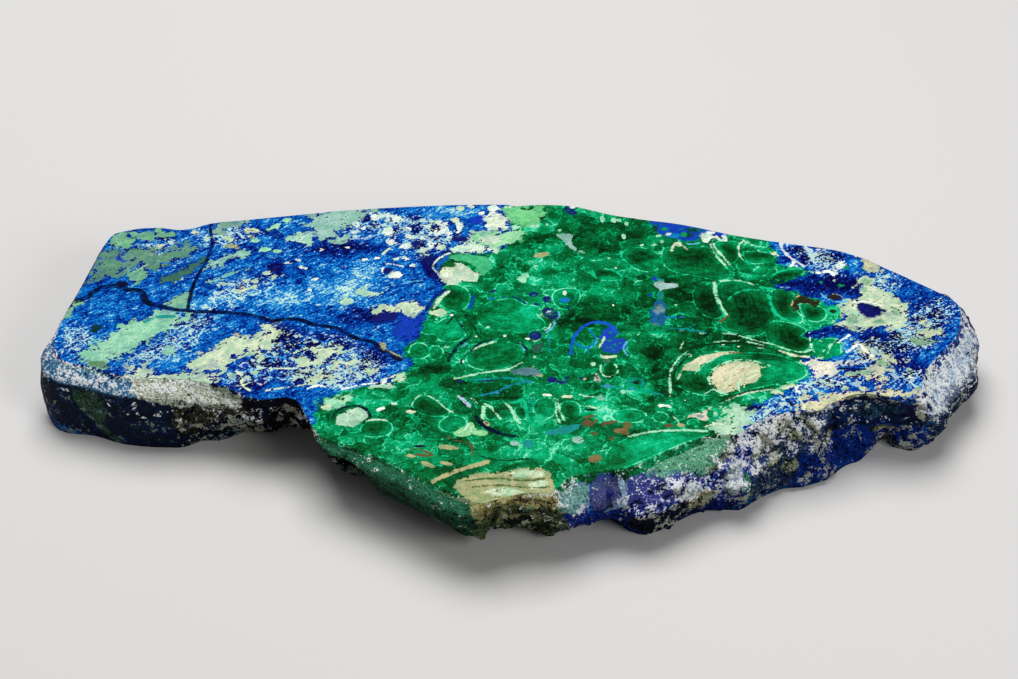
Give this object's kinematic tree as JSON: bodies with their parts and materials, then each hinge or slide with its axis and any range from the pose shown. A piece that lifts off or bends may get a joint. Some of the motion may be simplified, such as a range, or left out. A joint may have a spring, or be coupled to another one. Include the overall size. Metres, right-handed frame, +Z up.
{
  "type": "polished azurite and malachite slab",
  "caption": "Flat-lying mineral specimen slab of intergrown azurite and malachite, polished on top, with ground bevels, sawn sides and broken natural edges.",
  "frame": {"origin": "middle of the slab's box, on the surface the sawn underside rests on", "axes": "+X along the slab's length towards its rounded end, +Y away from its front tip, +Z up out of the polished face"},
  "size_m": [0.2834, 0.1488, 0.024],
  "materials": {
    "azurite_malachite": "polished to a gloss on top, finely ground on the bevels, rough where broken"
  },
  "bodies": {
    "root": {"azurite_malachite_slab": "azurite_malachite"}
  },
  "joints": []
}
